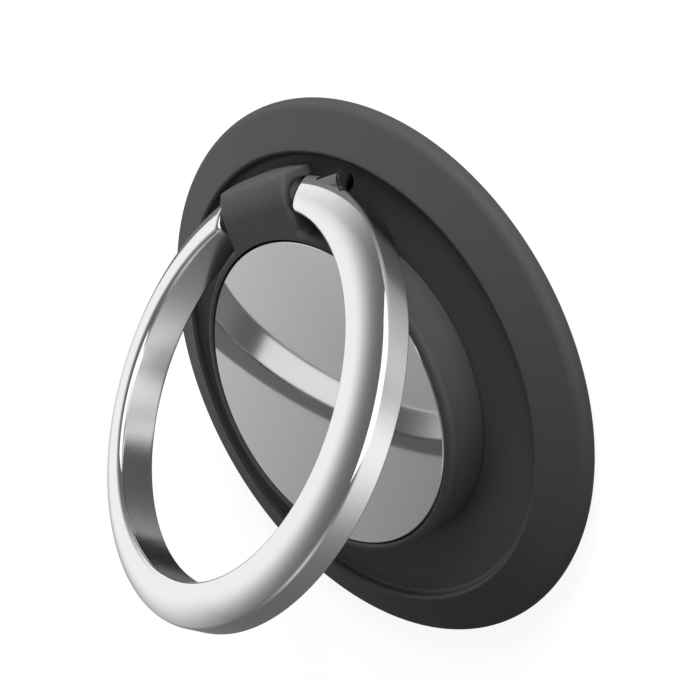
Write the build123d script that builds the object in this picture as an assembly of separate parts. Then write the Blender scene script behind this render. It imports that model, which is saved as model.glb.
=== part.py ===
from build123d import *
import math
import os

# Phone ring holder. Millimetres and degrees.
# The disc lies on its sticky back. Z = 0 is the face that sticks to the phone, +Z points away
# from the phone, the turret swivels about Z and the ring's hinge lies towards +Y.
# The disc's diameter drives the flange, the ring, the turret and the plate in turn.

# Base disc
disc_d = 38.0            # across the flange
back_gap = 0.16          # the pad stands this far proud of the casting's back
rim_r = 0.83             # full round of the outer edge
flange_w = 3.25          # from the outer edge to the recess
flange_rise = 0.69       # flange's inner edge above the floor of the recess
floor_z = 2.15           # floor of the recess
floor_t = 0.85           # thickness of that floor
flange_edge_r = 0.25     # rounding of the flange's inner edge
floor_corner_r = 0.30    # rounding between the floor and the recess wall

# Adhesive pad and the thin cover above it, both let into the casting's back
pad_t = 0.40
pad_inset = 3.10         # from the outer edge to the pad
pad_edge_r = 0.10
cover_t = 0.25
cover_gap = 0.12         # round the pad and the cover

# Finger ring, measured with the ring folded flat
recess_gap = 0.75        # between the ring and the recess wall
ring_w = 2.85            # radial width of the ring
ring_h = 2.81
crown_inset = 2.43       # from the ring's outside to the highest line of its front
face_r = 3.30            # curve of the front, which falls away towards the outside
outer_edge_r = 0.48      # rounding between the front and the flat band round the outside
inner_edge_r = 0.45      # rounding between the front and the flat band round the inside
ring_back_chamfer = 0.12
ring_end_r = 0.34        # rounding of the front and side edges at the ring's ends
back_end_r = 0.11        # rounding of the back edges there
left_gap = 0.22          # between the tongue's left side and the ring's end
right_gap = 0.95         # between the tongue's right side and the ring's end
knuckle_gap = 0.12       # between the turning ends of the ring and the floor
knuckle_top = 0.38       # the ring's ends are round about the hinge up to this far above its axis
open_angle = 36.3        # how far the ring is swung out

# Turret
turret_gap = 0.75        # between the turret and the folded ring
hub_h = 2.99             # from the turret's underside to its rim
hub_gap = 0.10           # between the turret's underside and the floor
hub_edge_r = 0.45        # rounding of the rim and of the tongue's long edges
boss_d = 10.0            # spigot that passes down through the floor
bore_fit = 0.05          # running clearance of the spigot, on the radius
groove_wall = 1.10       # outside the groove for the wave washer
groove_w = 3.80
groove_depth = 0.80

# Polished plate in the turret's front, on its adhesive film
plate_wall = 0.60        # turret's rim round the pocket
plate_gap = 0.12         # dark line round the plate
plate_t = 0.80
plate_sink = 0.04        # the plate lies this far below the rim
plate_edge = 0.08        # chamfer of the plate's rim
film_t = 0.10
film_inset = 0.15        # the film is this much smaller all round

# Retaining parts under the floor
run_gap = 0.03           # between faces that slide on each other
glide_t = 0.20
glide_w = 2.90           # the glide washer reaches this far past the spigot
keeper_t = 0.35
keeper_w = 3.10          # the retaining plate reaches this far past the spigot
pocket_gap = 0.20        # round the retaining plate
screw_count = 3
screw_inset = 2.10       # from the spigot's side to the screws
screw_r = 0.60
screw_head_r = 0.93
screw_length = 1.90
screw_slot_w = 0.22
screw_slot_depth = 0.14
screw_fit = 0.01

# Wave washer between the turret and the floor
wave_width = 1.80
wave_t = 0.20
wave_count = 3
wave_steps = 8           # flats along one wave

# Hinge, tongue and pin
hinge_inset = 2.17       # from the ring's outside to the pin's axis
hinge_rise = 1.69        # the pin's axis above the floor of the recess
pin_height = 1.51        # the pin's axis above the ring's back
pin_d = 1.44
pin_proud = 0.76         # the pin's right end stands this far out of the ring's side
pin_grip = 2.50          # the pin's left end lies this deep in the ring's left end
pin_end_gap = 0.05       # between the pin's left end and the bottom of its bore
pin_chamfer = 0.12
pin_fit = 0.01           # the pin is fixed in the ring's ends
grip_fit = 0.03          # the pin turns in the sleeve
sleeve_wall = 0.25
sleeve_fit = 0.01
sleeve_slot = 0.30
sleeve_inset = 0.25      # the sleeve ends this far inside the tongue's sides
tongue_w = 7.2
tongue_x = 0.20          # the tongue's middle stands a little towards +X
tongue_inset = 0.04      # the tongue ends this far inside the ring's outside
tongue_bend_before = 0.29    # the tongue's top begins to curve down this far before the pin
tongue_bend_r = 3.80
tongue_overrun = 0.38    # the tongue's side outline before its end is trimmed round
tongue_root_r = 0.20     # rounding between the tongue's sides and the turret

# Washers on the pin
hinge_washer_t = 0.12
hinge_washer_w = 0.53    # how far the washers stand out round the pin
spring_t = 0.16
spring_rise = 0.20
spring_w = 0.43
washer_fit = 0.04        # on the radius of the pin

# Working values
overcut = 1.0            # cutting shapes run this far past what they cut
near = 1e-3              # edges and faces are picked by their place to this closeness

# Round sizes that follow from the disc's diameter, from the outside in
disc_r = disc_d / 2
flange_r = disc_r - flange_w
pad_r = disc_r - pad_inset
ring_r = flange_r - recess_gap
ring_bore_r = ring_r - ring_w
ring_crown_r = ring_r - crown_inset
hub_r = ring_bore_r - turret_gap
pocket_r = hub_r - plate_wall
plate_r = pocket_r - plate_gap
groove_out_r = hub_r - groove_wall
groove_in_r = groove_out_r - groove_w
wave_mean_r = (groove_out_r + groove_in_r) / 2
boss_r = boss_d / 2
bore_r = boss_r + bore_fit
glide_r = boss_r + glide_w
keeper_r = boss_r + keeper_w
screw_circle_r = boss_r - screw_inset

# Heights that follow, from the phone outwards
rim_z = back_gap + rim_r
cover_top = pad_t + cover_t
floor_under = floor_z - floor_t
glide_top = floor_under - run_gap
keeper_top = glide_top - glide_t
keeper_low = keeper_top - keeper_t
flange_z = floor_z + flange_rise
hub_bottom = floor_z + hub_gap
hub_top = hub_bottom + hub_h
plate_top = hub_top - plate_sink
plate_under = plate_top - plate_t
plate_seat = plate_under - film_t

# The hinge and what sits on it
hinge_y = ring_r - hinge_inset
hinge_z = floor_z + hinge_rise
hinge_line = Axis((0, hinge_y, hinge_z), (-1, 0, 0))
ring_back_z = hinge_z - pin_height
face_centre_z = ring_h - face_r
knuckle_r = hinge_rise - knuckle_gap
pin_r = pin_d / 2
sleeve_bore_r = pin_r + grip_fit
sleeve_r = sleeve_bore_r + sleeve_wall
tongue_reach = ring_r - tongue_inset
tongue_bend_y = hinge_y - tongue_bend_before
tongue_left = tongue_x - tongue_w / 2
tongue_right = tongue_x + tongue_w / 2
ring_left = tongue_left - left_gap
ring_right = tongue_right + right_gap
pin_left = ring_left - pin_grip
pin_right = math.sqrt(ring_r**2 - hinge_y**2) + pin_proud


def disc(radius, z_low, z_high):
    """A plain round solid about the swivel axis."""
    return Pos(0, 0, z_low) * Cylinder(radius, z_high - z_low, align=(Align.CENTER, Align.CENTER, Align.MIN))


def annulus(inner_r, outer_r, z_low, z_high):
    """A flat ring about the swivel axis."""
    return disc(outer_r, z_low, z_high) - disc(inner_r, z_low, z_high)


def rod(radius, x_low, x_high):
    """A round bar along the hinge line."""
    bar = Cylinder(radius, x_high - x_low, align=(Align.CENTER, Align.CENTER, Align.MIN))
    return Pos(x_low, hinge_y, hinge_z) * Rot(0, 90, 0) * bar


def turned(edges):
    """A solid turned about Z from outline edges in the XZ plane."""
    return revolve(make_face(edges), Axis.Z)


def circles_at(shape, radius, height):
    """The round edges of a turned solid that have this radius and height."""
    rounds = shape.edges().filter_by(GeomType.CIRCLE)
    return [e for e in rounds if abs(e.radius - radius) < near and abs(e.arc_center.Z - height) < near]


def tangent_angle(from_r, from_z):
    """Angle on the rim's round where the flange's straight slope runs into it."""
    dr = from_r - (disc_r - rim_r)
    dz = from_z - rim_z
    return math.atan2(dz, dr) - math.acos(rim_r / math.hypot(dr, dz))


def on_rim(angle):
    """A point of the rim's round, in the XZ plane."""
    return (disc_r - rim_r + rim_r * math.cos(angle), 0, rim_z + rim_r * math.sin(angle))


def base_disc():
    """Flanged casting: sloping flange, full round edge, recess for the ring, pockets in the back."""
    back_r = pad_r + cover_gap
    keeper_pocket_r = keeper_r + pocket_gap
    top = tangent_angle(flange_r, flange_z)
    bottom = -math.pi / 2
    inner = Polyline(
        on_rim(bottom), (back_r, 0, back_gap), (back_r, 0, cover_top), (keeper_pocket_r, 0, cover_top),
        (keeper_pocket_r, 0, floor_under), (bore_r, 0, floor_under), (bore_r, 0, floor_z),
        (flange_r, 0, floor_z), (flange_r, 0, flange_z), on_rim(top))
    edge = ThreePointArc(on_rim(top), on_rim((top + bottom) / 2), on_rim(bottom))
    body = turned(inner + edge)
    body = fillet(circles_at(body, flange_r, flange_z), flange_edge_r)
    return fillet(circles_at(body, flange_r, floor_z), floor_corner_r)


def back_cover():
    """Thin disc that closes the casting's back."""
    return disc(pad_r, pad_t, cover_top)


def adhesive_pad():
    """Foam pad with a softly rounded edge."""
    return fillet(circles_at(disc(pad_r, 0, pad_t), pad_r, 0), pad_edge_r)


def tongue():
    """Hinge tongue: flat on top, curved down at its outer end, its end face round about the swivel."""
    inner_y = hub_r / 2
    outer_y = tongue_reach + tongue_overrun
    bend_z = hub_top - tongue_bend_r
    sweep = math.asin((outer_y - tongue_bend_y) / tongue_bend_r)

    def on_bend(angle):
        return (0, tongue_bend_y + tongue_bend_r * math.sin(angle), bend_z + tongue_bend_r * math.cos(angle))

    curve = ThreePointArc(on_bend(0), on_bend(sweep / 2), on_bend(sweep))
    sides = Polyline(
        on_bend(sweep), (0, outer_y, hub_bottom), (0, inner_y, hub_bottom), (0, inner_y, hub_top), on_bend(0))
    side = make_face(curve + sides)
    body = Pos(tongue_x, 0, 0) * extrude(side, tongue_w / 2, dir=(1, 0, 0), both=True)
    return body & disc(tongue_reach, hub_bottom, hub_top)


def root_edges(body):
    """The two upright corners where the tongue leaves the turret."""
    upright = body.edges().filter_by(Axis.Z)
    roots = [e for e in upright if abs(math.hypot(e.center().X, e.center().Y) - hub_r) < near]
    return [e for e in roots if e.center().Y > 0]


def upper_edges(body):
    """The turret's top edge and the tongue's two long edges, as one run."""
    upright = body.edges().filter_by(Axis.Z)
    half_way = (hub_bottom + hub_top) / 2
    found = []
    for edge in body.edges():
        middle = edge.center()
        reach = math.hypot(middle.X, middle.Y)
        beside_tongue = min(abs(middle.X - tongue_left), abs(middle.X - tongue_right)) < near
        on_top = abs(middle.Z - hub_top) < near and reach > hub_r - hub_edge_r
        bent = beside_tongue and middle.Z > half_way and middle.Y > tongue_bend_y
        if (on_top or bent) and edge not in upright:
            found.append(edge)
    return found


def hub():
    """Turret with its tongue in one casting, front seat for the plate, spigot and bores."""
    body = disc(hub_r, hub_bottom, hub_top) + tongue()
    body = fillet(root_edges(body), tongue_root_r)
    body = fillet(upper_edges(body), hub_edge_r)
    body = body + disc(boss_r, keeper_top, hub_bottom)
    body = body - disc(pocket_r, plate_seat, hub_top + overcut)
    body = body - annulus(groove_in_r, groove_out_r, hub_bottom, hub_bottom + groove_depth)
    body = body - rod(sleeve_r + sleeve_fit, tongue_left - overcut, tongue_right + overcut)
    return body - [place * screw(screw_fit, False) for place in screw_places()]


def mirror_plate():
    """Polished disc with a fine chamfer round its face."""
    plate = disc(plate_r, plate_under, plate_top)
    return chamfer(circles_at(plate, plate_r, plate_top), plate_edge)


def plate_adhesive():
    """Film between the plate and its seat."""
    return disc(plate_r - film_inset, plate_seat, plate_under)


def glide_washer():
    """Plastic washer that slides on the underside of the floor."""
    return annulus(bore_r, glide_r, keeper_top, glide_top)


def screw_places():
    """The screws' places round the swivel axis."""
    return PolarLocations(screw_circle_r, screw_count, start_angle=90)


def screw(extra, slotted):
    """Countersunk screw that points up, its head flush with the retaining plate's underside."""
    head = screw_head_r + extra
    shank = screw_r + extra
    tip = keeper_low + screw_length
    outline = Polyline(
        (0, 0, keeper_low), (head, 0, keeper_low), (shank, 0, keeper_low + head - shank), (shank, 0, tip),
        (0, 0, tip + extra), (0, 0, keeper_low))
    body = turned(outline)
    if slotted:
        slot = Pos(0, 0, keeper_low) * Box(2 * screw_head_r, screw_slot_w, 2 * screw_slot_depth)
        body = body - slot - slot.rotate(Axis.Z, 90)
    return body


def retaining_plate():
    """Disc under the floor that holds the turret in, with countersunk holes."""
    plate = disc(keeper_r, keeper_low, keeper_top)
    return plate - [place * screw(screw_fit, False) for place in screw_places()]


def retaining_screws():
    """The three screws, as one group of separate solids."""
    return Compound(children=[place * screw(0, True) for place in screw_places()])


def wave_section(angle):
    """Cross-section of the wave washer at one angle round the swivel."""
    low = floor_z + run_gap
    high = hub_bottom + groove_depth - run_gap
    swing = (high - low - wave_t) / 2
    z = (low + high) / 2 + swing * math.cos(math.radians(angle) * wave_count)
    plane = Plane(origin=(0, 0, z), x_dir=(1, 0, 0), z_dir=(0, -1, 0)).rotated((0, 0, angle))
    return plane * Pos(wave_mean_r, 0, 0) * Rectangle(wave_width, wave_t)


def wave_washer():
    """Thin spring ring with an even wave, made one wave at a time."""
    pitch = 360 / wave_count
    angles = [pitch * step / wave_steps for step in range(wave_steps + 1)]
    wave = loft([wave_section(angle) for angle in angles], ruled=True)
    ring = wave
    for turn in range(1, wave_count):
        ring = ring + wave.rotate(Axis.Z, pitch * turn)
    return ring


def hinge_sleeve():
    """Slotted spring sleeve that grips the pin inside the tongue."""
    left = tongue_left + sleeve_inset
    right = tongue_right - sleeve_inset
    tube = rod(sleeve_r, left, right) - rod(sleeve_bore_r, left, right)
    slot = Box(right - left, sleeve_slot, sleeve_r, align=(Align.MIN, Align.CENTER, Align.MAX))
    return tube - Pos(left, hinge_y, hinge_z) * slot


def edge_centre(radius, across):
    """Centre of a rounding that touches the ring's front from inside, this far across."""
    reach = face_r - radius
    return (across, face_centre_z + math.sqrt(reach**2 - (across - ring_crown_r)**2))


def on_circle(centre, radius, angle):
    """A point of a circle in the section's plane."""
    return (centre[0] + radius * math.cos(angle), 0, centre[1] + radius * math.sin(angle))


def arc(centre, radius, start, end):
    """An arc in the section's plane between two angles."""
    points = [on_circle(centre, radius, angle) for angle in (start, (start + end) / 2, end)]
    return ThreePointArc(*points)


def ring_section():
    """Outline of the ring's section: flat back and bands, domed front, rounded front edges."""
    cut = ring_back_chamfer
    outer = edge_centre(outer_edge_r, ring_r - outer_edge_r)
    inner = edge_centre(inner_edge_r, ring_bore_r + inner_edge_r)
    middle = (ring_crown_r, face_centre_z)
    outer_angle = math.atan2(outer[1] - middle[1], outer[0] - middle[0])
    inner_angle = math.atan2(inner[1] - middle[1], inner[0] - middle[0])
    front = arc(middle, face_r, outer_angle, inner_angle)
    outer_edge = arc(outer, outer_edge_r, 0, outer_angle)
    inner_edge = arc(inner, inner_edge_r, inner_angle, math.pi)
    sides = Polyline(
        (ring_bore_r, 0, inner[1]), (ring_bore_r, 0, cut), (ring_bore_r + cut, 0, 0),
        (ring_r - cut, 0, 0), (ring_r, 0, cut), (ring_r, 0, outer[1]))
    return outer_edge + front + inner_edge + sides


def end_face(body, x):
    """The flat face at the ring's end that lies at this x."""
    flats = body.faces().filter_by(Axis.X)
    return [f for f in flats if abs(f.center().X - x) < near][0]


def folded_ring():
    """The open hoop as it lies flat in the recess, with its ends rounded about the hinge."""
    body = Pos(0, 0, ring_back_z) * turned(ring_section())
    gap = Box(ring_right - ring_left, 2 * ring_r, 2 * ring_h, align=(Align.MIN, Align.MIN, Align.CENTER))
    body = body - Pos(ring_left, 0, hinge_z) * gap
    back_top = ring_back_z + ring_back_chamfer
    for x in (ring_left, ring_right):
        body = fillet([e for e in end_face(body, x).edges() if e.center().Z > back_top], ring_end_r)
        body = fillet([e for e in end_face(body, x).edges() if e.center().Z < back_top], back_end_r)
    corner = Box(2 * ring_r, ring_h, pin_height + knuckle_top, align=(Align.CENTER, Align.MIN, Align.MAX))
    corner = Pos(0, hinge_y, hinge_z + knuckle_top) * corner
    body = body - (corner - rod(knuckle_r, -ring_r - overcut, ring_r + overcut))
    return body - rod(pin_r + pin_fit, pin_left - pin_end_gap, pin_right + overcut)


def finger_ring():
    """The ring, swung out about its hinge."""
    return folded_ring().rotate(hinge_line, open_angle)


def hinge_pin():
    """Plain pin with chamfered ends. Its right end shows on the ring's outer side."""
    pin = rod(pin_r, pin_left, pin_right)
    return chamfer(pin.edges().filter_by(GeomType.CIRCLE), pin_chamfer)


def hinge_washers():
    """Thin plastic washers, one on each side of the tongue."""
    slack = (left_gap - hinge_washer_t) / 2
    left = tongue_left - slack - hinge_washer_t
    right = tongue_right + slack
    pair = []
    for low in (left, right):
        high = low + hinge_washer_t
        pair.append(rod(pin_r + hinge_washer_w, low, high) - rod(pin_r + washer_fit, low, high))
    return Compound(children=pair)


def spring_cup(x_low, flip):
    """One cupped spring washer on the pin."""
    inner = pin_r + washer_fit
    outer = pin_r + spring_w
    outline = Polyline(
        (inner, 0, 0), (outer, 0, spring_rise), (outer, 0, spring_rise + spring_t),
        (inner, 0, spring_t), (inner, 0, 0))
    cup = turned(outline)
    if flip:
        cup = Pos(0, 0, spring_rise + spring_t) * Rot(180, 0, 0) * cup
    return Pos(x_low, hinge_y, hinge_z) * Rot(0, 90, 0) * cup


def hinge_springs():
    """Two cupped washers, rim to rim, in the wider gap beside the tongue."""
    height = spring_rise + spring_t
    start = ring_right - run_gap - 2 * height - run_gap
    return Compound(children=[spring_cup(start, False), spring_cup(start + height + run_gap, True)])


pieces = {
    "base_disc": base_disc,
    "back_cover": back_cover,
    "adhesive_pad": adhesive_pad,
    "hub": hub,
    "mirror_plate": mirror_plate,
    "plate_adhesive": plate_adhesive,
    "glide_washer": glide_washer,
    "retaining_plate": retaining_plate,
    "retaining_screws": retaining_screws,
    "wave_washer": wave_washer,
    "hinge_sleeve": hinge_sleeve,
    "finger_ring": finger_ring,
    "hinge_pin": hinge_pin,
    "hinge_washers": hinge_washers,
    "hinge_springs": hinge_springs,
}

os.makedirs("parts", exist_ok=True)
for name, build in pieces.items():
    export_step(build(), f"parts/{name}.step")
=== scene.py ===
import math

import bmesh
import bpy
from mathutils import Matrix, Vector


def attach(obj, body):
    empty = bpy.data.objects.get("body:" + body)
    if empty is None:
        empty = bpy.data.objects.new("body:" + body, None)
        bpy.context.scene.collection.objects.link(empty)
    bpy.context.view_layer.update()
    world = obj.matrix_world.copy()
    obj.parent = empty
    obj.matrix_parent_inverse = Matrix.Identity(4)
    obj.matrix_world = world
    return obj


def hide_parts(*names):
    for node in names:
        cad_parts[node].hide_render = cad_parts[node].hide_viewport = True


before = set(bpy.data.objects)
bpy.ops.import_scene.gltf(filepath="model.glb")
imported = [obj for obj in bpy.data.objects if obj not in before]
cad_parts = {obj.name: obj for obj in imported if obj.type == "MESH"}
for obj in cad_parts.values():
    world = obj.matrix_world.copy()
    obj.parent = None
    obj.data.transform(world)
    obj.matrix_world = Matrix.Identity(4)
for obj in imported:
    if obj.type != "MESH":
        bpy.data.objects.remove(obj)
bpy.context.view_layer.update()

# Dressed phone ring holder: smooth castings, chromed ring, polished plate, their finishes,
# a plain studio and the camera. Sizes are millimetres in the part's frame unless their comment
# says otherwise: the sticky back lies at z = 0, and the hinge is towards +Y.

MM = 0.001

# Base disc
disc_r = 19.0
back_gap = 0.16          # from the pad's sticky face up to the casting's back
rim_r = 0.83             # round of the flange's outer edge
flange_r = 15.75         # inner edge of the flange, which is the recess's wall
flange_z = 2.84
floor_z = 2.15           # top of the floor that the ring folds onto
floor_under = 1.30
bore_r = 5.05
cover_pocket_r = 16.02
keeper_pocket_r = 8.30
flange_edge_r = 0.25
floor_corner_r = 0.30
back_edge_r = 0.04       # broken edges of the pockets and the bore
pad_r = 15.90
pad_t = 0.40
pad_edge_r = 0.10
cover_top = 0.65

# Turret and plate
hub_top = 5.24
plate_r = 10.68
plate_t = 0.80
plate_sink = 0.04        # the plate's face lies this far below the turret's rim
plate_edge = 0.08        # chamfer round the plate's face
plate_edge_r = 0.01

# Hinge
hinge_y = 12.83
hinge_z = 3.84
hinge = (0, hinge_y, hinge_z)
pin_r = 0.72
pin_left = -6.12
pin_right = 8.531
pin_chamfer = 0.12
pin_edge_r = 0.02
tongue_left = -3.40
tongue_right = 3.80

# Finger ring, folded flat, before it is swung out
ring_r = 15.0
ring_bore_r = 12.15
ring_back_z = 2.33
ring_h = 2.81
crown_r = 12.57          # where the domed front is highest
face_r = 3.30            # radius of the dome in the section
outer_edge_r = 0.48
inner_edge_r = 0.45
ring_back_chamfer = 0.12
ring_back_edge_r = 0.05
ring_end_r = 0.34
end_fade = 0.5           # height above the back chamfer over which the ends' rounding sets in
ring_left = -3.62
ring_right = 4.75
knuckle_r = 1.57
knuckle_top = 0.38       # the round about the hinge reaches this far above it
open_angle = 36.3        # degrees

# Washers on the pin
washer_t = 0.12
washer_r = 1.25
washer_edge_r = 0.03
washer_bore_r = 0.76
spring_r = 1.15
spring_t = 0.16
spring_rise = 0.20
spring_gap = 0.03

# Fineness of the meshes
round_steps = 360        # facets round a turned piece
small_steps = 96         # facets round the pin and its washers
rim_steps = 36
casting_steps = 10       # facets in each small rounding of the base
base_longest = 0.8       # longest straight run in the base's outline
ring_longest = 0.12      # and in the ring's
ring_sections = 300
same_point = 1e-8        # metres
same_cad_point = 2e-7    # metres
same_plane = 0.2         # degrees between CAD triangles that belong to one flat
casting_sharp = 34       # degrees from which an edge of the turret stays sharp


# Meshes

def placed(name, data):
    """A new object at the origin, in the scene."""
    thing = bpy.data.objects.new(name, data)
    bpy.context.scene.collection.objects.link(thing)
    return thing


def close_up(mesh):
    """Joins the mesh's points that coincide and turns its faces outwards."""
    made = bmesh.new()
    made.from_mesh(mesh)
    bmesh.ops.remove_doubles(made, verts=made.verts, dist=same_point)
    bmesh.ops.recalc_face_normals(made, faces=made.faces)
    made.to_mesh(mesh)
    made.free()


def smooth(piece, sharp_from=30):
    """Smooth shading that keeps edges sharper than this many degrees."""
    piece.data.shade_smooth()
    piece.data.set_sharp_from_angle(angle=math.radians(sharp_from))
    return piece


def rounded(corners, steps=5):
    """Closed outline from (across, up, radius) corners, each with its own rounding."""
    points = []
    count = len(corners)
    for i, (a, b, radius) in enumerate(corners):
        here = Vector((a, b))
        if radius == 0:
            points.append(here)
            continue
        to_last = (Vector(corners[i - 1][:2]) - here).normalized()
        to_next = (Vector(corners[(i + 1) % count][:2]) - here).normalized()
        half = to_last.angle(to_next) / 2
        middle = here + (to_last + to_next).normalized() * (radius / math.sin(half))
        start = here + to_last * (radius / math.tan(half)) - middle
        end = here + to_next * (radius / math.tan(half)) - middle
        turn = start.angle_signed(end)
        for step in range(steps + 1):
            points.append(middle + Matrix.Rotation(-turn * step / steps, 2) @ start)
    return points


def split_long(points, longest):
    """The same closed outline with its long straight runs divided."""
    out = []
    for i, point in enumerate(points):
        after = points[(i + 1) % len(points)]
        parts = max(1, math.ceil((after - point).length / longest))
        out += [point.lerp(after, k / parts) for k in range(parts)]
    return out


def turned(name, outline, about="Z", centre=(0, 0, 0), steps=round_steps):
    """A turned piece from a closed outline of (radius, along) points, in millimetres.
    Runs along the axis itself get no faces."""
    verts = []
    faces = []
    count = len(outline)
    for step in range(steps):
        angle = 2 * math.pi * step / steps
        for radius, along in outline:
            across = (radius * math.cos(angle), radius * math.sin(angle))
            place = (*across, along) if about == "Z" else (along, *across)
            verts.append((Vector(place) + Vector(centre)) * MM)
    for step in range(steps):
        here = step * count
        there = (step + 1) % steps * count
        for i in range(count):
            after = (i + 1) % count
            on_axis = outline[i][0] < 1e-6 and outline[after][0] < 1e-6
            if not on_axis:
                faces.append((here + i, there + i, there + after, here + after))
    mesh = bpy.data.meshes.new(name)
    mesh.from_pydata(verts, [], faces)
    close_up(mesh)
    return smooth(placed(name, mesh))


def merged_copy(node, name):
    """A smooth copy of a CAD node: its loose triangles joined, its flats kept flat."""
    piece = placed(name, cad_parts[node].data.copy())
    piece.data.materials.clear()
    made = bmesh.new()
    made.from_mesh(piece.data)
    bmesh.ops.remove_doubles(made, verts=made.verts, dist=same_cad_point)
    bmesh.ops.dissolve_limit(
        made, angle_limit=math.radians(same_plane), verts=made.verts, edges=made.edges)
    made.to_mesh(piece.data)
    made.free()
    smooth(piece, casting_sharp)
    flats = piece.modifiers.new("flats", "WEIGHTED_NORMAL")
    flats.mode = "FACE_AREA"
    flats.weight = 100
    flats.keep_sharp = True
    return plain_mesh(piece)


def plain_mesh(piece):
    """The piece with its modifiers worked out and removed."""
    bpy.context.view_layer.update()
    shown = piece.evaluated_get(bpy.context.evaluated_depsgraph_get())
    mesh = bpy.data.meshes.new_from_object(shown)
    piece.modifiers.clear()
    piece.data = mesh
    return piece


def joined(name, parts):
    """Several plain pieces as one object."""
    made = bmesh.new()
    for part in parts:
        made.from_mesh(part.data)
        bpy.data.objects.remove(part)
    mesh = bpy.data.meshes.new(name)
    made.to_mesh(mesh)
    made.free()
    return smooth(placed(name, mesh))


# Materials

def socket(tree, target, value):
    """A number, colour or other node's output into an input."""
    if isinstance(value, bpy.types.NodeSocket):
        tree.links.new(value, target)
    elif value is not None:
        target.default_value = value


def add(tree, kind, inputs=None, **settings):
    """A node with its settings and inputs."""
    node = tree.nodes.new(kind)
    for key, value in settings.items():
        setattr(node, key, value)
    for key, value in (inputs or {}).items():
        socket(tree, node.inputs[key], value)
    return node


def calc(tree, operation, a, b=None):
    """One sum on numbers or outputs, in shader and geometry trees alike."""
    return add(tree, "ShaderNodeMath", {0: a, 1: b}, operation=operation).outputs[0]


def noise(tree, place, grain, detail):
    """Cloudy noise with a grain of this size in millimetres."""
    return add(tree, "ShaderNodeTexNoise", {
        "Vector": place, "Scale": 1 / (grain * MM), "Detail": detail}).outputs[0]


def finish(name, colour, metallic, roughness, grain, spread, bump=None, specular=None):
    """A lacquer, plating or plastic: colour, roughness that varies by spread over a grain of
    this size in mm, and a bump of (size in mm, depth in mm)."""
    material = bpy.data.materials.new(name)
    material.use_nodes = True
    tree = material.node_tree
    shader = tree.nodes["Principled BSDF"]
    shader.inputs["Base Color"].default_value = (*colour, 1)
    shader.inputs["Metallic"].default_value = metallic
    if specular is not None:
        shader.inputs["Specular IOR Level"].default_value = specular
    place = add(tree, "ShaderNodeTexCoord").outputs["Object"]
    varied = add(tree, "ShaderNodeMapRange", {
        "Value": noise(tree, place, grain, 4.0), "From Min": 0.3, "From Max": 0.7,
        "To Min": roughness - spread, "To Max": roughness + spread})
    socket(tree, shader.inputs["Roughness"], varied.outputs[0])
    if bump:
        size, depth = bump
        relief = add(tree, "ShaderNodeBump", {
            "Height": noise(tree, place, size, 3.0), "Distance": depth * MM, "Strength": 1.0})
        socket(tree, shader.inputs["Normal"], relief.outputs[0])
    return material


def rougher_bands(material, extra):
    """Adds this much roughness where the piece's own attribute "band" is 1."""
    tree = material.node_tree
    roughness = tree.nodes["Principled BSDF"].inputs["Roughness"]
    polished = roughness.links[0].from_socket
    band = add(tree, "ShaderNodeAttribute", attribute_name="band").outputs["Fac"]
    rougher = calc(tree, "ADD", polished, calc(tree, "MULTIPLY", band, extra))
    socket(tree, roughness, rougher)


# name, colour, metallic, roughness, grain, spread
graphite = finish("graphite_lacquer", (0.078, 0.078, 0.08), 0.0, 0.46, 0.9, 0.03,
                  bump=(0.12, 0.0012), specular=0.25)
chrome = finish("ring_chrome", (0.90, 0.90, 0.89), 1.0, 0.07, 2.5, 0.015)
plate_steel = finish("polished_plate", (0.66, 0.66, 0.66), 1.0, 0.06, 3.0, 0.01)
# The pin's steel is far darker than bare steel: painted shade that stands in for the dark
# recess round the pin's end.
pin_steel_painted_shade = finish("pin_steel_painted_shade", (0.16, 0.16, 0.165), 1.0, 0.06, 0.3, 0.02)
rolled_steel = finish("rolled_steel", (0.60, 0.60, 0.60), 1.0, 0.33, 0.5, 0.07,
                      bump=(0.09, 0.0015))
spring_steel = finish("spring_steel", (0.08, 0.08, 0.085), 1.0, 0.35, 0.4, 0.06,
                      bump=(0.08, 0.001))
washer_plastic = finish("washer_plastic", (0.04, 0.04, 0.04), 0.0, 0.48, 0.4, 0.05,
                        bump=(0.10, 0.001))
adhesive_film = finish("adhesive_film", (0.50, 0.48, 0.44), 0.0, 0.42, 0.8, 0.08,
                       bump=(0.30, 0.004))
foam = finish("pad_foam", (0.03, 0.03, 0.03), 0.0, 0.92, 0.5, 0.05, bump=(0.16, 0.02))
rougher_bands(chrome, 0.12)


def dress(piece, material):
    """One finish over the whole piece."""
    piece.data.materials.clear()
    piece.data.materials.append(material)


def seat(piece, material, body, slot, *nodes):
    """A finished piece on its body, with the CAD nodes it stands for hidden. The slot is not
    used.
    """
    dress(piece, material)
    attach(piece, body)
    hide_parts(*nodes)


# Base

def base_outline():
    """Section of the flanged casting: (radius, height), the rim's round first."""
    round_r = disc_r - rim_r
    rim_z = back_gap + rim_r
    dr = flange_r - round_r
    dz = flange_z - rim_z
    top = math.atan2(dz, dr) - math.acos(rim_r / math.hypot(dr, dz))
    bottom = -math.pi / 2
    rim = []
    for step in range(rim_steps + 1):
        angle = top + (bottom - top) * step / rim_steps
        rim.append(Vector((round_r + rim_r * math.cos(angle), rim_z + rim_r * math.sin(angle))))
    rest = rounded([
        (*rim[-1], 0),
        (cover_pocket_r, back_gap, back_edge_r), (cover_pocket_r, cover_top, 0),
        (keeper_pocket_r, cover_top, back_edge_r), (keeper_pocket_r, floor_under, 0),
        (bore_r, floor_under, back_edge_r), (bore_r, floor_z, back_edge_r),
        (flange_r, floor_z, floor_corner_r), (flange_r, flange_z, flange_edge_r),
        (*rim[0], 0)], steps=casting_steps)
    return split_long(rim + rest[1:-1], base_longest)


base_disc = turned("flanged_disc", base_outline())
seat(base_disc, graphite, "base", "graphite", "base_disc")

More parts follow.
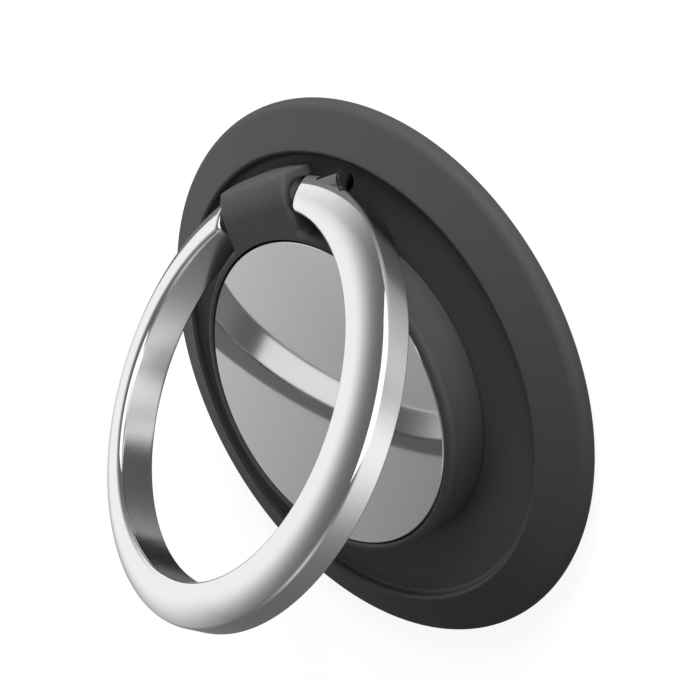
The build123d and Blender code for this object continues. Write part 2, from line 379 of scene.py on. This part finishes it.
pad_outline = rounded([(0, 0, 0), (pad_r, 0, pad_edge_r), (pad_r, pad_t, 0), (0, pad_t, 0)])
pad = turned("foam_pad", pad_outline)
seat(pad, foam, "base", "foam", "adhesive_pad")

# Turret

hub = merged_copy("hub", "turret_casting")
seat(hub, graphite, "turret", "graphite", "hub")

plate_top = hub_top - plate_sink
plate_back = plate_top - plate_t
plate_outline = rounded([
    (0, plate_back, 0), (plate_r, plate_back, 0),
    (plate_r, plate_top - plate_edge, plate_edge_r),
    (plate_r - plate_edge, plate_top, plate_edge_r), (0, plate_top, 0)])
plate = turned("front_plate", plate_outline)
seat(plate, plate_steel, "turret", "polished_plate", "mirror_plate")


# Finger ring

def ring_outline():
    """Section of the folded ring, from its bore: (radius, height above its back)."""
    face = Vector((crown_r, ring_h - face_r))

    def edge_centre(radius, across):
        reach = face_r - radius
        return Vector((across, face.y + math.sqrt(reach**2 - (across - crown_r)**2)))

    def arc(centre, radius, start, end, steps):
        angles = [start + (end - start) * k / steps for k in range(steps + 1)]
        return [centre + radius * Vector((math.cos(a), math.sin(a))) for a in angles]

    outer = edge_centre(outer_edge_r, ring_r - outer_edge_r)
    inner = edge_centre(inner_edge_r, ring_bore_r + inner_edge_r)
    outer_angle = math.atan2(outer.y - face.y, outer.x - face.x)
    inner_angle = math.atan2(inner.y - face.y, inner.x - face.x)
    front = arc(outer, outer_edge_r, 0, outer_angle, 12)
    front += arc(face, face_r, outer_angle, inner_angle, 26)[1:]
    front += arc(inner, inner_edge_r, inner_angle, math.pi, 16)[1:]
    cut = ring_back_chamfer
    back = rounded([
        (ring_bore_r, cut, ring_back_edge_r), (ring_bore_r + cut, 0, ring_back_edge_r),
        (ring_r - cut, 0, ring_back_edge_r), (ring_r, cut, ring_back_edge_r),
        (*front[0], 0), (*front[-1], 0)], steps=4)[:-2]
    return split_long(front + back, ring_longest)


def ring_sweep():
    """Tree that sweeps an outline round the open hoop between two flat ends, rounds the ends
    about the hinge, and swings the hoop out."""
    tree = bpy.data.node_groups.new("ring_sweep", "GeometryNodeTree")
    sockets = tree.interface
    sockets.new_socket("Outline", in_out="INPUT", socket_type="NodeSocketGeometry")
    for label in ("Right End", "Left End", "End Rounding", "Back Height", "Hinge Y", "Hinge Z",
                  "Knuckle Radius", "Knuckle Top", "Open Angle"):
        sockets.new_socket(label, in_out="INPUT", socket_type="NodeSocketFloat")
    sockets.new_socket("Sections", in_out="INPUT", socket_type="NodeSocketInt")
    sockets.new_socket("Finish", in_out="INPUT", socket_type="NodeSocketMaterial")
    sockets.new_socket("Ring", in_out="OUTPUT", socket_type="NodeSocketGeometry")
    given = tree.nodes.new("NodeGroupInput").outputs
    result = tree.nodes.new("NodeGroupOutput")

    def position():
        return add(tree, "GeometryNodeInputPosition").outputs[0]

    def parts_of(vector):
        return add(tree, "ShaderNodeSeparateXYZ", {0: vector}).outputs

    def vector_of(**parts):
        return add(tree, "ShaderNodeCombineXYZ", parts).outputs[0]

    def moved(geometry, **inputs):
        node = add(tree, "GeometryNodeSetPosition", {"Geometry": geometry, **inputs})
        return node.outputs[0]

    # The outline's points, as radius in X and height in Y, are carried along the sweep
    section = add(tree, "GeometryNodeMeshToCurve", {"Mesh": given["Outline"]})
    keep_point = add(tree, "GeometryNodeCaptureAttribute", {"Geometry": section.outputs[0]})
    keep_point.capture_items.new("VECTOR", "point")
    keep_point.capture_items.new("VECTOR", "inward")
    inward = add(tree, "GeometryNodeInputNamedAttribute", {"Name": "inward"},
                 data_type="FLOAT_VECTOR")
    socket(tree, keep_point.inputs["point"], position())
    socket(tree, keep_point.inputs["inward"], inward.outputs[0])
    line = add(tree, "GeometryNodeCurvePrimitiveLine", {"End": (0, 0, 1)})
    path = add(tree, "GeometryNodeResampleCurve", {
        "Curve": line.outputs[0], "Count": given["Sections"]})
    keep_along = add(tree, "GeometryNodeCaptureAttribute", {"Geometry": path.outputs[0]})
    keep_along.capture_items.new("FLOAT", "along")
    factor = add(tree, "GeometryNodeSplineParameter").outputs["Factor"]
    socket(tree, keep_along.inputs["along"], factor)
    swept = add(tree, "GeometryNodeCurveToMesh", {
        "Curve": keep_along.outputs[0], "Profile Curve": keep_point.outputs[0],
        "Fill Caps": True})

    # Sections lie closer together near the ends
    turn = calc(tree, "MULTIPLY", keep_along.outputs["along"], math.pi)
    half_cosine = calc(tree, "MULTIPLY", calc(tree, "COSINE", turn), 0.5)
    along = calc(tree, "SUBTRACT", 0.5, half_cosine)
    point = parts_of(keep_point.outputs["point"])
    right = calc(tree, "ARCSINE", calc(tree, "DIVIDE", given["Right End"], point["X"]))
    left = calc(tree, "ARCSINE", calc(tree, "DIVIDE", given["Left End"], point["X"]))
    left_round = calc(tree, "ADD", left, 2 * math.pi)
    span = calc(tree, "SUBTRACT", left_round, right)
    angle = calc(tree, "ADD", right, calc(tree, "MULTIPLY", span, along))
    x = calc(tree, "MULTIPLY", point["X"], calc(tree, "SINE", angle))
    y = calc(tree, "MULTIPLY", point["X"], calc(tree, "COSINE", angle))

    # Close to both ends the outline draws in, except along its back, so the ends are rounded
    rounding = given["End Rounding"]
    past_right = calc(tree, "SUBTRACT", x, given["Right End"])
    past_left = calc(tree, "SUBTRACT", given["Left End"], x)
    from_end = calc(tree, "MAXIMUM", past_right, past_left)
    short = calc(tree, "MAXIMUM", calc(tree, "SUBTRACT", rounding, from_end), 0.0)
    short = calc(tree, "MINIMUM", short, rounding)
    squares = calc(tree, "SUBTRACT", calc(tree, "MULTIPLY", rounding, rounding),
                   calc(tree, "MULTIPLY", short, short))
    inset = calc(tree, "SUBTRACT", rounding, calc(tree, "SQRT", squares))
    above_back = calc(tree, "SUBTRACT", point["Y"], given["Back Height"])
    fade = add(tree, "ShaderNodeClamp", {
        "Value": calc(tree, "DIVIDE", above_back, end_fade * MM)}).outputs[0]
    share = calc(tree, "MULTIPLY", fade, calc(tree, "GREATER_THAN", y, 0.0))
    inset = calc(tree, "MULTIPLY", inset, share)
    towards = parts_of(keep_point.outputs["inward"])
    y = calc(tree, "ADD", y, calc(tree, "MULTIPLY", inset, towards["X"]))
    z = calc(tree, "ADD", point["Y"], calc(tree, "MULTIPLY", inset, towards["Y"]))
    hoop = moved(swept.outputs[0], Position=vector_of(X=x, Y=y, Z=z))

    # Beyond the pin and below the knuckle's top, the ends are round about the hinge
    place = parts_of(position())
    dy = calc(tree, "SUBTRACT", place["Y"], given["Hinge Y"])
    dz = calc(tree, "SUBTRACT", place["Z"], given["Hinge Z"])
    reach = calc(tree, "SQRT", calc(
        tree, "ADD", calc(tree, "MULTIPLY", dy, dy), calc(tree, "MULTIPLY", dz, dz)))
    beyond = calc(tree, "GREATER_THAN", dy, 0.0)
    below = calc(tree, "LESS_THAN", dz, given["Knuckle Top"])
    outside = calc(tree, "GREATER_THAN", reach, given["Knuckle Radius"])
    chosen = calc(tree, "MULTIPLY", calc(tree, "MULTIPLY", beyond, below), outside)
    shrink = calc(tree, "DIVIDE", given["Knuckle Radius"], reach)
    round_y = calc(tree, "ADD", given["Hinge Y"], calc(tree, "MULTIPLY", dy, shrink))
    round_z = calc(tree, "ADD", given["Hinge Z"], calc(tree, "MULTIPLY", dz, shrink))
    knuckled = moved(hoop, Selection=chosen,
                     Position=vector_of(X=place["X"], Y=round_y, Z=round_z))

    # Swung out about the hinge, towards +Z at the far side
    centre = vector_of(Y=given["Hinge Y"], Z=given["Hinge Z"])
    swing = add(tree, "ShaderNodeVectorRotate", {
        "Vector": position(), "Center": centre, "Angle": given["Open Angle"]},
        rotation_type="X_AXIS").outputs[0]
    opened = moved(knuckled, Position=swing)
    dressed = add(tree, "GeometryNodeSetMaterial", {
        "Geometry": opened, "Material": given["Finish"]})
    socket(tree, result.inputs[0], dressed.outputs[0])
    return tree


def finger_ring():
    """The open hoop in its swung-out place, from the sweep."""
    outline = [Vector((p.x, p.y + ring_back_z, 0)) * MM for p in ring_outline()]
    mesh = bpy.data.meshes.new("finger_hoop")
    count = len(outline)
    mesh.from_pydata(outline, [(i, (i + 1) % count) for i in range(count)], [])
    inward = mesh.attributes.new("inward", "FLOAT_VECTOR", "POINT")
    for i in range(count):
        run = (outline[(i + 1) % count] - outline[i - 1]).normalized()
        inward.data[i].vector = (-run.y, run.x, 0)
    ring = placed("finger_hoop", mesh)
    tree = ring_sweep()
    sweep = ring.modifiers.new("sweep", "NODES")
    sweep.node_group = tree
    values = {
        "Right End": ring_right * MM, "Left End": ring_left * MM,
        "End Rounding": ring_end_r * MM, "Back Height": (ring_back_z + ring_back_chamfer) * MM,
        "Hinge Y": hinge_y * MM, "Hinge Z": hinge_z * MM, "Knuckle Radius": knuckle_r * MM,
        "Knuckle Top": knuckle_top * MM, "Open Angle": -math.radians(open_angle),
        "Sections": ring_sections, "Finish": chrome}
    for item in tree.interface.items_tree:
        if item.name in values:
            sweep[item.identifier] = values[item.name]
    plain_mesh(ring)
    close_up(ring.data)
    mark_bands(ring.data)
    return smooth(ring)


def mark_bands(mesh):
    """Attribute "band": 1 on the bore and the outside, which are turned and not buffed."""
    along = Matrix.Rotation(-math.radians(open_angle), 3, "X") @ Vector((0, 0, 1))
    band = mesh.attributes.new("band", "FLOAT", "FACE")
    for face in mesh.polygons:
        band.data[face.index].value = float(abs(face.normal.dot(along)) < 0.01)


ring = finger_ring()
seat(ring, chrome, "ring", "chrome", "finger_ring")

pin_outline = rounded([
    (0, pin_left, 0), (pin_r - pin_chamfer, pin_left, pin_edge_r),
    (pin_r, pin_left + pin_chamfer, pin_edge_r), (pin_r, pin_right - pin_chamfer, pin_edge_r),
    (pin_r - pin_chamfer, pin_right, pin_edge_r), (0, pin_right, 0)])
pin = turned("hinge_pin_turned", pin_outline, about="X", centre=hinge, steps=small_steps)
seat(pin, pin_steel_painted_shade, "ring", "dark_steel", "hinge_pin")


def washer_pair():
    """Thin washers on both sides of the tongue."""
    slack = (tongue_left - ring_left - washer_t) / 2
    pair = []
    for low in (tongue_left - slack - washer_t, tongue_right + slack):
        high = low + washer_t
        outline = rounded([
            (washer_bore_r, low, 0), (washer_r, low, washer_edge_r),
            (washer_r, high, washer_edge_r), (washer_bore_r, high, 0)])
        pair.append(turned("hinge_washer", outline, about="X", centre=hinge, steps=small_steps))
    return joined("hinge_washer_pair", pair)


def spring_pair():
    """Two cupped washers, rim to rim, in the wider gap beside the tongue."""
    height = spring_rise + spring_t
    start = ring_right - spring_gap - 2 * height - spring_gap
    middle = start + height + spring_gap / 2
    first = [(washer_bore_r, start), (spring_r, start + spring_rise),
             (spring_r, start + height), (washer_bore_r, start + spring_t)]
    second = [(r, 2 * middle - x) for r, x in first]
    cups = [turned("hinge_spring", cup, about="X", centre=hinge, steps=small_steps)
            for cup in (first, second)]
    return joined("hinge_spring_pair", cups)


seat(washer_pair(), washer_plastic, "ring", "plastic", "hinge_washers")
seat(spring_pair(), spring_steel, "ring", "dark_steel", "hinge_springs")

# CAD nodes that keep their own shape
for node, material in {
        "back_cover": rolled_steel, "plate_adhesive": adhesive_film,
        "glide_washer": washer_plastic, "retaining_plate": rolled_steel,
        "retaining_screws": rolled_steel, "wave_washer": rolled_steel,
        "hinge_sleeve": rolled_steel}.items():
    dress(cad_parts[node], material)


# Studio. Lights are placed by degrees to the right of the camera and above it, seen from the
# object. Soft lights also have their widths in degrees. Lamps have metres and watts.

camera_right = Vector((0.61074851, -0.3620296, -0.70421646))
camera_up = Vector((0.14120733, 0.92490038, -0.35301525))
camera_back = camera_right.cross(camera_up)
camera_place = (95.9600, 17.0767, 78.0154)
camera_lens = 97.759
camera_near = 1.0

# A long soft light behind on the left, one on the right and a fainter one below
soft_lights = (
    {"middles": ((-150, 34), (-121, 9), (-99, 13)), "even": 14, "width": 28, "strength": 0.82},
    {"middles": ((73, -23),), "even": 0, "width": 24, "strength": 0.85},
    {"middles": ((-8, -66),), "even": 0, "width": 20, "strength": 0.45})
plain_share = 0.1        # share of the soft lights outside reflections
room_grey = 0.06
reflected_grey = 0.07    # what the room gains in reflections

floor_half = 32.0
floor_colour = 0.42
floor_white = 0.88       # glow that the camera sees on top of the lit floor
pool_dark = 0.02         # glow of the floor in reflections, towards -X and at its middle
pool_light = 0.4         # and towards +X
pool_from = 12.0         # it changes from the one to the other between these two places
pool_to = 28.0


def seen_at(right, up):
    """Direction from the object that lies this many degrees right of the camera and above."""
    right = math.radians(right)
    up = math.radians(up)
    level = camera_right * math.sin(right) + camera_back * math.cos(right)
    return level * math.cos(up) + camera_up * math.sin(up)


def soft_light(tree, direction, middles, even, width, strength):
    """Brightness of a soft light: even within some degrees of its middles, fading beyond."""
    nearest = -1.0
    for middle in middles:
        dot = add(tree, "ShaderNodeVectorMath", {0: direction, 1: seen_at(*middle)},
                  operation="DOT_PRODUCT")
        nearest = calc(tree, "MAXIMUM", nearest, dot.outputs["Value"])
    angle = calc(tree, "ARCCOSINE", calc(tree, "MINIMUM", nearest, 1.0))
    beyond = calc(tree, "MAXIMUM", calc(tree, "SUBTRACT", angle, math.radians(even)), 0.0)
    faded = calc(tree, "POWER", calc(tree, "DIVIDE", beyond, math.radians(width)), 2.0)
    glow = calc(tree, "EXPONENT", calc(tree, "MULTIPLY", faded, -1.0))
    return calc(tree, "MULTIPLY", glow, strength)


def studio_world():
    """Grey room with the soft lights, stronger in reflections than elsewhere. The camera sees
    plain white."""
    world = bpy.data.worlds.new("studio")
    world.use_nodes = True
    tree = world.node_tree
    direction = add(tree, "ShaderNodeTexCoord").outputs["Generated"]
    lights = 0.0
    for light in soft_lights:
        lights = calc(tree, "ADD", soft_light(tree, direction, **light), lights)
    path = add(tree, "ShaderNodeLightPath").outputs
    share = calc(tree, "MAXIMUM", path["Is Glossy Ray"], plain_share)
    more_grey = calc(tree, "MULTIPLY", path["Is Glossy Ray"], reflected_grey)
    grey = calc(tree, "ADD", more_grey, room_grey)
    level = calc(tree, "ADD", calc(tree, "MULTIPLY", lights, share), grey)
    shown = calc(tree, "MAXIMUM", level, path["Is Camera Ray"])
    background = tree.nodes["Background"]
    background.inputs["Color"].default_value = (1, 1, 1, 1)
    socket(tree, background.inputs["Strength"], shown)
    return world


def lamp(name, right, up, distance, size, power, mirrored=True):
    """A soft rectangular lamp that faces the object."""
    light = bpy.data.lights.new(name, "AREA")
    light.shape = "RECTANGLE"
    light.size, light.size_y = size
    light.energy = power
    holder = placed(name, light)
    away = seen_at(right, up)
    across = camera_up.cross(away).normalized()
    holder.matrix_world = Matrix.Translation(away * distance) @ Matrix(
        (across, away.cross(across), away)).transposed().to_4x4()
    holder.visible_glossy = mirrored


def floor_material():
    """Floor that keeps the soft shadow: white to the camera, grey in reflections with a pool of
    light towards +X."""
    material = bpy.data.materials.new("studio_floor")
    material.use_nodes = True
    tree = material.node_tree
    shader = tree.nodes["Principled BSDF"]
    shader.inputs["Base Color"].default_value = (floor_colour, floor_colour, floor_colour, 1)
    shader.inputs["Roughness"].default_value = 0.9
    shader.inputs["Specular IOR Level"].default_value = 0.0
    path = add(tree, "ShaderNodeLightPath").outputs
    reflected = calc(tree, "MAXIMUM", path["Is Glossy Ray"], path["Is Transmission Ray"])
    place = add(tree, "ShaderNodeTexCoord").outputs["Object"]
    across = add(tree, "ShaderNodeSeparateXYZ", {0: place}).outputs["X"]
    pool = add(tree, "ShaderNodeMapRange", {
        "Value": across, "From Min": pool_from * MM, "From Max": pool_to * MM,
        "To Min": pool_dark, "To Max": pool_light}, interpolation_type="SMOOTHSTEP").outputs[0]
    to_camera = calc(tree, "MULTIPLY", path["Is Camera Ray"], floor_white)
    seen = calc(tree, "ADD", to_camera, calc(tree, "MULTIPLY", reflected, pool))
    glow = add(tree, "ShaderNodeEmission", {"Color": (1, 1, 1, 1), "Strength": seen})
    both = add(tree, "ShaderNodeAddShader", {0: shader.outputs[0], 1: glow.outputs[0]})
    socket(tree, tree.nodes["Material Output"].inputs["Surface"], both.outputs[0])
    return material


floor_mesh = bpy.data.meshes.new("studio_floor")
half = floor_half * MM
floor_mesh.from_pydata(
    [(-half, -half, 0), (half, -half, 0), (half, half, 0), (-half, half, 0)], [],
    [(0, 1, 2, 3)])
floor = placed("studio_floor", floor_mesh)
dress(floor, floor_material())
bpy.context.scene.world = studio_world()
lamp("front_softbox", 31, 18, distance=0.5, size=(0.73, 0.84), power=2.05)
lamp("top_light", -14, 56, distance=0.6, size=(0.5, 0.5), power=5.8, mirrored=False)

# Camera, at the photograph's place and roll
camera_data = bpy.data.cameras.new("camera")
camera_data.lens = camera_lens
camera_data.sensor_width = 36
camera_data.clip_start = camera_near * MM
camera = placed("camera", camera_data)
camera.matrix_world = Matrix.Translation(Vector(camera_place) * MM) @ Matrix(
    (camera_right, camera_up, camera_back)).transposed().to_4x4()
bpy.context.scene.camera = camera
bpy.context.scene.view_settings.view_transform = "Standard"
